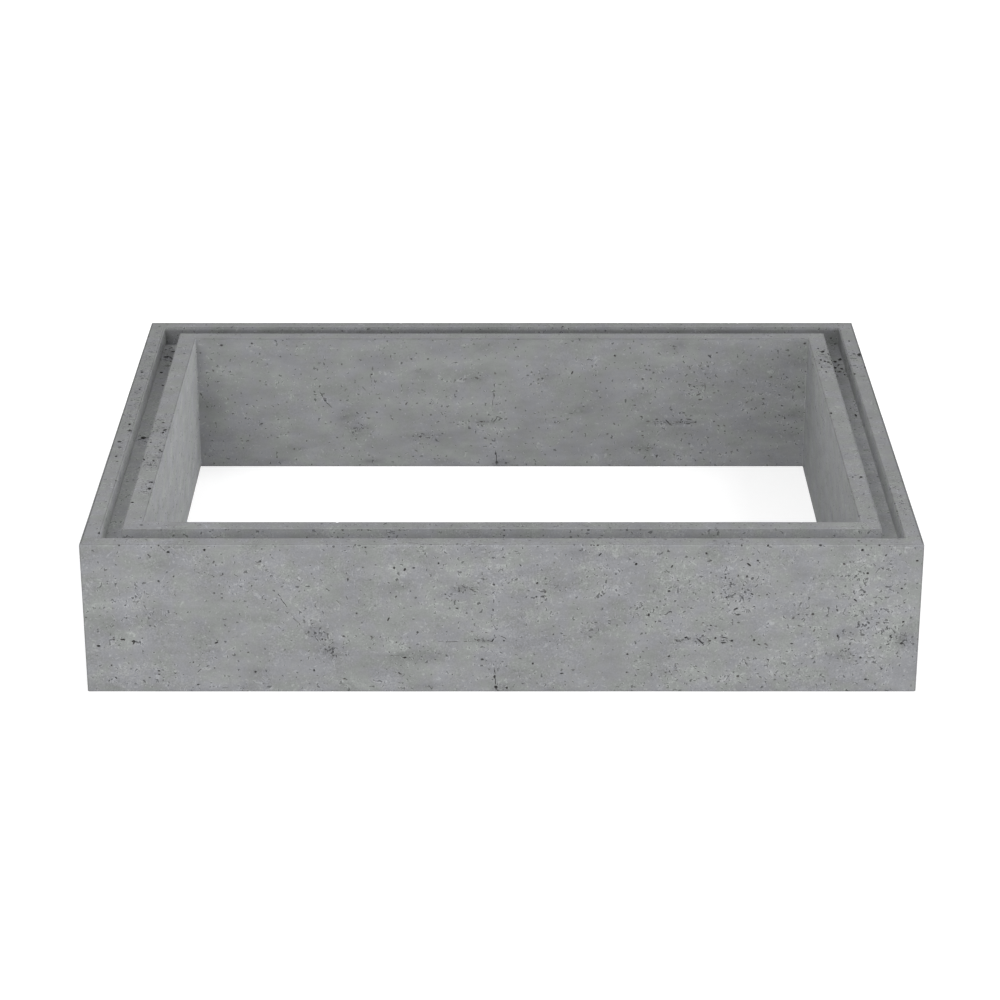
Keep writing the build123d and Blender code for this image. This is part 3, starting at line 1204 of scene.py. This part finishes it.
@dataclass(frozen=True)
class ConcreteFinish:
    """A cast concrete surface: its colours, and how strongly each pattern shows.

    Each whole_ value is what is left of a pattern where the clouds aren't torn.
    """

    name: str
    plain: tuple[float, float, float] = (0.290, 0.295, 0.299)
    cool: tuple[float, float, float] = (0.291, 0.296, 0.310)
    warm: tuple[float, float, float] = (0.288, 0.300, 0.292)
    cloud_contrast: float = 0.42
    restless_tone: float = 1.11
    speck_tone: float = 0.46
    fleck_tone: float = 0.55
    wrinkle_tone: float = 0.46
    rim_tone: float = 1.28
    # Darkening by smudges and darker patches, painted groove shade included.
    smudge_and_shade_tone: float = 0.66
    fine_grain: float = 0.46
    coarse_grain: float = 0.30
    # Painted shade on the top faces: darker than the walls for the light from above, and darker towards the
    # back.
    front_top_painted_shade: float = 0.63
    back_top_painted_shade: float = 0.54
    # Painted shade in the groove: almost none in the front half, deepening towards the back.
    front_groove_painted_shade: float = 0.98
    back_groove_painted_shade: float = 0.64
    inner_calm: float = 0.42
    edge_tone: float = 0.42
    # Painted shade in the hollows: blowholes, dashes, cracks and chips darken with depth below the face,
    # less on the faces round the opening.
    hollow_painted_shade: float = 0.30
    inner_hollow_painted_shade: float = 0.60
    hollow_shade_depth: float = 0.9 * MM
    speck_size: float = 5.2 * MM
    speck_bend: float = 12 * MM
    speck_level: float = 0.55
    fleck_size: float = 8.5 * MM
    fleck_bend: float = 28 * MM
    fleck_level: float = 0.585
    calm_level: float = 0.755
    inner_calm_level: float = 0.79
    inner_unrest: float = 0.72
    whole_smudge_and_shade: float = 0.5
    whole_unrest: float = 0.15
    whole_edge: float = 0.7
    roughness: float = 0.90
    grain_roughness: float = 0.3
    shine: float = 0.25
    relief: float = 0.5
    relief_height: float = 0.5 * MM

    def build(self, patterns: Patterns) -> bpy.types.Material:
        """Make the material.

        Args:
            patterns: the shared node groups.

        Returns:
            The material.
        """
        paint = bpy.data.materials.new(self.name)
        paint.use_nodes = True
        tree = TreeBuilder(paint.node_tree)
        shader = tree.nodes["Principled BSDF"]
        spot = tree.add("ShaderNodeTexCoord").outputs["Object"]
        clouds = self.use(tree, patterns.clouds, {"Vector": spot, "Contrast": self.cloud_contrast})
        restless = tree.add("ShaderNodeAttribute", attribute_name=RESTLESS).outputs["Fac"]
        # Smudges and darker patches, with painted shade along the grooves, read from the points.
        smudged_and_shaded = tree.add("ShaderNodeAttribute", attribute_name=SMUDGED_AND_SHADED).outputs["Fac"]
        smudge_and_shade = tree.maths("MULTIPLY", smudged_and_shaded, tree.blend(clouds["Torn"], self.whole_smudge_and_shade, 1.0))
        unrest = tree.maths("MULTIPLY", restless, tree.blend(clouds["Torn"], self.whole_unrest, 1.0))
        unrest = tree.maths("MAXIMUM", unrest, smudge_and_shade)
        place = self.use(tree, patterns.section, {"Vector": spot})
        unrest = tree.maths("MULTIPLY", unrest, tree.blend(place["Inner"], 1.0, self.inner_unrest))
        calm_level = tree.blend(place["Inner"], self.calm_level, self.inner_calm_level)
        specks = self.use(tree, patterns.flecks, {
            "Vector": spot, "Unrest": unrest, "Size": self.speck_size, "Bend": self.speck_bend,
            "Calm level": calm_level, "Restless level": self.speck_level})
        flecks = self.use(tree, patterns.flecks, {
            "Vector": tree.vector("ADD", spot, (0.3, 0.7, 0.5)), "Unrest": unrest,
            "Size": self.fleck_size, "Bend": self.fleck_bend, "Calm level": calm_level,
            "Restless level": self.fleck_level})
        wrinkles = self.use(tree, patterns.wrinkles, {"Vector": spot, "Unrest": unrest})
        grain = self.use(tree, patterns.grain, {"Vector": spot, "Unrest": unrest})
        calm = tree.blend(place["Inner"], 1.0, self.inner_calm)
        fine, coarse = (tree.maths("MULTIPLY", grain[name], calm) for name in ("Fine", "Coarse"))
        # Painted shade in the groove, deepening from the middle towards the back.
        groove_painted_shade = tree.ramp(place["Far"], 0.5, 0.95, self.front_groove_painted_shade, self.back_groove_painted_shade,
                                False)
        # Painted shade on the top faces, deepening from front to back.
        top_painted_shade = tree.blend(place["Far"], self.front_top_painted_shade, self.back_top_painted_shade)
        edge = tree.maths("MULTIPLY", place["Edge"], tree.blend(clouds["Torn"], self.whole_edge, 1.0))
        pale = tree.maths("MAXIMUM", specks["Pale"], flecks["Pale"])
        pale = tree.maths("MAXIMUM", pale, wrinkles["Pale"])
        # Painted shade in the hollows, by depth below the nearest face.
        hollow_painted_shade = tree.blend(place["Inner"], self.hollow_painted_shade, self.inner_hollow_painted_shade)
        tones = (
            clouds["Tone"],
            tree.blend(restless, 1.0, self.restless_tone),
            # Smudges, darker patches and painted groove shade darken the tone.
            tree.blend(smudge_and_shade, 1.0, self.smudge_and_shade_tone),
            tree.blend(specks["Dark"], 1.0, self.speck_tone),
            tree.blend(flecks["Dark"], 1.0, self.fleck_tone),
            tree.blend(wrinkles["Dark"], 1.0, self.wrinkle_tone),
            tree.blend(pale, 1.0, self.rim_tone),
            tree.maths("MULTIPLY_ADD", fine, self.fine_grain, 1.0),
            tree.maths("MULTIPLY_ADD", coarse, self.coarse_grain, 1.0),
            # Painted shade on the top faces.
            tree.blend(place["Top"], 1.0, top_painted_shade),
            # Painted shade in the groove.
            tree.blend(place["Groove"], 1.0, groove_painted_shade),
            tree.blend(edge, 1.0, self.edge_tone),
            # Painted shade in the hollows.
            tree.ramp(place["Depth"], 0.3 * MM, self.hollow_shade_depth, 1.0, hollow_painted_shade),
        )
        tone = tones[0]
        for layer in tones[1:]:
            tone = tree.maths("MULTIPLY", tone, layer)
        tinted = self.mix(tree, tree.ramp(clouds["Tint"], 0.38, 0.5), self.cool, self.plain)
        tinted = self.mix(tree, tree.ramp(clouds["Tint"], 0.5, 0.62), tinted, self.warm)
        colour = tree.place("ShaderNodeVectorMath", {0: tinted, "Scale": tone}, operation="SCALE")
        tree.feed(shader.inputs["Base Color"], colour.outputs[0])
        rough = tree.maths("MULTIPLY_ADD", grain["Coarse"], self.grain_roughness, self.roughness)
        tree.feed(shader.inputs["Roughness"], rough)
        shader.inputs["Specular IOR Level"].default_value = self.shine
        sunk = tree.maths("MAXIMUM", specks["Dark"], flecks["Dark"])
        bump = tree.place("ShaderNodeBump", {"Strength": self.relief, "Distance": self.relief_height,
                                             "Height": tree.maths("SUBTRACT", 1.0, sunk)})
        tree.feed(shader.inputs["Normal"], bump.outputs[0])
        return paint

    def use(self, tree: TreeBuilder, group: NodeGroup, values: dict[str, object]) -> object:
        """Place a shared group in the material.

        Args:
            tree: the material's tree.
            group: the group.
            values: what its inputs get.

        Returns:
            The group node's outputs.
        """
        node = tree.add("ShaderNodeGroup", node_tree=group.tree)
        for name, value in values.items():
            tree.feed(node.inputs[name], value)
        return node.outputs

    def mix(self, tree: TreeBuilder, factor: object, first: object, second: object) -> bpy.types.NodeSocket:
        """Mix two colours held as vectors.

        Args:
            tree: the material's tree.
            factor: how much of the second shows.
            first: the colour at 0.
            second: the colour at 1.

        Returns:
            The mixed colour.
        """
        return tree.place("ShaderNodeMix", {0: factor, 4: first, 5: second}, data_type="VECTOR").outputs[1]


# The studio


@dataclass(frozen=True)
class Lamp:
    """A broad soft lamp far away: its bearing from the front, height angle, level and breadth."""

    name: str
    azimuth: float
    elevation: float
    level: float
    breadth: float = 35.0

    def hang(self) -> None:
        """Put the lamp in the scene."""
        data = bpy.data.lights.new(self.name, "SUN")
        data.energy = self.level * math.pi
        data.angle = math.radians(self.breadth)
        lamp = bpy.data.objects.new(self.name, data)
        turn, rise = math.radians(self.azimuth), math.radians(self.elevation)
        out = Vector((math.sin(turn) * math.cos(rise), -math.cos(turn) * math.cos(rise), math.sin(rise)))
        lamp.location = out * 4
        lamp.rotation_mode = "QUATERNION"
        lamp.rotation_quaternion = (-out).to_track_quat("-Z", "Y")
        bpy.context.scene.collection.objects.link(lamp)


@dataclass(frozen=True)
class Studio:
    """Camera, lamps, world and floor."""

    focal_pixels: float = 2924.5
    picture_pixels: float = 1000.0
    sensor: float = 36.0
    optical_x: float = 501.7
    camera_y: float = -4.1221
    camera_z: float = 1.8484
    pitch: float = 23.0
    world_level: float = 0.58
    floor_size: float = 30.0
    floor_tone: float = 0.5
    floor_glow: float = 0.60
    lamps: tuple[Lamp, ...] = (
        Lamp("left_lamp", -30, 50, 0.39),
        Lamp("low_lamp", 60, 10, 0.36),
        Lamp("right_lamp", 90, 50, 0.47),
        Lamp("back_lamp", 195, 12, 0.40),
    )

    def build(self) -> None:
        """Set up the whole studio."""
        self.camera()
        for lamp in self.lamps:
            lamp.hang()
        self.world()
        self.floor()

    def camera(self) -> None:
        """Place the camera where the photograph was taken from."""
        data = bpy.data.cameras.new("camera")
        data.sensor_width = self.sensor
        data.lens = self.focal_pixels / self.picture_pixels * self.sensor
        data.shift_x = (self.picture_pixels / 2 - self.optical_x) / self.picture_pixels
        viewer = bpy.data.objects.new("camera", data)
        viewer.location = (0, self.camera_y, self.camera_z)
        viewer.rotation_euler = (math.radians(90 - self.pitch), 0, 0)
        bpy.context.scene.collection.objects.link(viewer)
        bpy.context.scene.camera = viewer

    def seen(self, tree: TreeBuilder) -> bpy.types.NodeSocket:
        """Tell the rays that picture the surroundings from those that light the casting.

        Args:
            tree: the world's or the floor's tree.

        Returns:
            1 for camera, glossy and transmitted rays, 0 for the rest.
        """
        path = tree.add("ShaderNodeLightPath").outputs
        mirrored = tree.maths("MAXIMUM", path["Is Glossy Ray"], path["Is Transmission Ray"])
        return tree.maths("MAXIMUM", path["Is Camera Ray"], mirrored)

    def world(self) -> None:
        """Light the scene evenly from a pale sky that the camera sees as white."""
        sky = bpy.data.worlds.new("sky")
        bpy.context.scene.world = sky
        sky.use_nodes = True
        tree = TreeBuilder(sky.node_tree)
        tree.nodes.clear()
        level = tree.blend(self.seen(tree), self.world_level, 1.0)
        glow = tree.place("ShaderNodeBackground", {"Color": (1, 1, 1, 1), "Strength": level})
        out = tree.add("ShaderNodeOutputWorld")
        tree.feed(out.inputs["Surface"], glow.outputs[0])

    def floor(self) -> None:
        """Lay a pale floor that keeps a faint shadow and otherwise shows white."""
        paint = bpy.data.materials.new("pale_floor")
        paint.use_nodes = True
        tree = TreeBuilder(paint.node_tree)
        tree.nodes.clear()
        matt = tree.place("ShaderNodeBsdfDiffuse", {"Color": (self.floor_tone,) * 3 + (1,)})
        glow = tree.place("ShaderNodeEmission", {
            "Color": (1, 1, 1, 1), "Strength": tree.maths("MULTIPLY", self.seen(tree), self.floor_glow)})
        both = tree.place("ShaderNodeAddShader", {0: matt.outputs[0], 1: glow.outputs[0]})
        out = tree.add("ShaderNodeOutputMaterial")
        tree.feed(out.inputs["Surface"], both.outputs[0])
        mesh = bpy.data.meshes.new("floor")
        s = self.floor_size / 2
        mesh.from_pydata([(-s, -s, 0), (s, -s, 0), (s, s, 0), (-s, s, 0)], [], [(0, 1, 2, 3)])
        mesh.materials.append(paint)
        link_object("floor", mesh)


def carve_casting(casting: Casting, body: bpy.types.Object, paint: bpy.types.Material) -> None:
    """Cut every blowhole, dash, crack and chip into the casting.

    Args:
        casting: the ring, for its sizes.
        body: its object.
        paint: the finish of what is cut open.
    """
    carver = Carver(body)
    section, high = casting.section, casting.high
    whole = body.copy()
    whole.data = body.data.copy()
    bpy.context.scene.collection.objects.link(whole)
    small = Blowholes(seed=11, density=2000, least_gap=4.0 * MM, small=1.6 * MM, large=3.0 * MM,
                      rarity=2.0, stretch=1.8, fineness=1)
    medium = Blowholes(seed=23, density=320, least_gap=9.0 * MM, small=2.2 * MM, large=4.2 * MM,
                       rarity=3.0, stretch=1.6, fineness=2)
    carver.cut("small_blowholes", small.cutters(whole, paint))
    carver.cut("medium_blowholes", medium.cutters(whole, paint))
    bpy.data.objects.remove(whole)
    carver.cut("placed_marks", placed_cutters(marked_faces(casting), paint))
    walls = (-high[1], high[1] - section.wall)
    for batch in (CRACKS[0::3], CRACKS[1::3], CRACKS[2::3]):
        carver.cut("cracks", Cracks().on_walls(walls, batch, paint))
    top, inside, cell = high[2], 0.3 * MM, 40 * MM
    upper = [(inset, top - inside) for inset in (inside, section.rim - inside, section.lip_edge + inside,
                                                 section.wall - inside)]
    edges = casting.edge_line("edges", upper + [(inside, inside), (section.wall - inside, inside)], cell)
    carver.cut("arris_chips", ArrisChips().cutters(edges, paint))
    bpy.data.objects.remove(edges)


def marked_faces(casting: Casting) -> list[PlacedMarks]:
    """List the faces that have marks set out one by one.

    Args:
        casting: the ring, for its sizes.

    Returns:
        Each face with its marks.
    """
    far_x, far_y, top = (c / MM for c in casting.high)
    wall, floor = casting.section.wall / MM, top - casting.section.groove_depth / MM
    outer_x, outer_y = (-far_x, far_x), (-far_y, far_y)
    inner_x, inner_y = (wall - far_x, far_x - wall), (wall - far_y, far_y - wall)
    deep, shallow, level = 1.2, 0.55, 1.5
    back_shift, inner_front_shift, left_shift, right_shift = 31, 64, 83, -120
    faces = []
    for marks, depth in ((DEEP_MARKS, deep), (SHALLOW_MARKS, shallow)):
        faces += [
            PlacedMarks(Side.FRONT, -far_y, marks, outer_x, depth=depth),
            PlacedMarks(Side.FRONT, far_y - wall, marks, inner_x, depth=depth),
            PlacedMarks(Side.BACK, far_y, marks[::2], outer_x, True, back_shift, depth),
            PlacedMarks(Side.BACK, wall - far_y, marks[1::2], inner_x, True, inner_front_shift, depth),
            PlacedMarks(Side.LEFT, -far_x, marks[::2], outer_y, True, left_shift, depth),
            PlacedMarks(Side.RIGHT, far_x, marks[1::2], outer_y, False, right_shift, depth),
        ]
    return faces + [
        PlacedMarks(Side.TOP, top, TOP_MARKS, outer_x, depth=level),
        PlacedMarks(Side.TOP, floor, GROOVE_MARKS, outer_x, depth=level),
        PlacedMarks(Side.RIGHT, wall - far_x, INNER_LEFT_MARKS, inner_y),
        PlacedMarks(Side.LEFT, far_x - wall, INNER_RIGHT_MARKS, inner_y),
    ]


def main() -> None:
    """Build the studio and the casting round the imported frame."""
    logging.basicConfig(level=logging.INFO, format="%(name)s: %(message)s")
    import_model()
    bpy.context.scene.view_settings.view_transform = "Standard"
    Studio().build()
    casting = Casting(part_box(NODE)[1])
    patterns = Patterns(casting)
    skin = ConcreteFinish("cast_concrete").build(patterns)
    # open_concrete is a slightly darker, rougher copy of the skin for the insides of hollows; its darker
    # colours are painted shade.
    broken = ConcreteFinish("open_concrete", plain=(0.27, 0.272, 0.27), cool=(0.265, 0.27, 0.275),
                            warm=(0.272, 0.27, 0.26), roughness=0.94, coarse_grain=0.4).build(patterns)
    body = casting.build()
    log.info("casting: %d faces before carving", len(body.data.polygons))
    casting.dress(body, skin, broken)
    triangles = sum(len(p.vertices) - 2 for p in body.data.polygons)
    log.info("casting: %d faces, %d triangles", len(body.data.polygons), triangles)


if __name__ == "__main__":
    main()
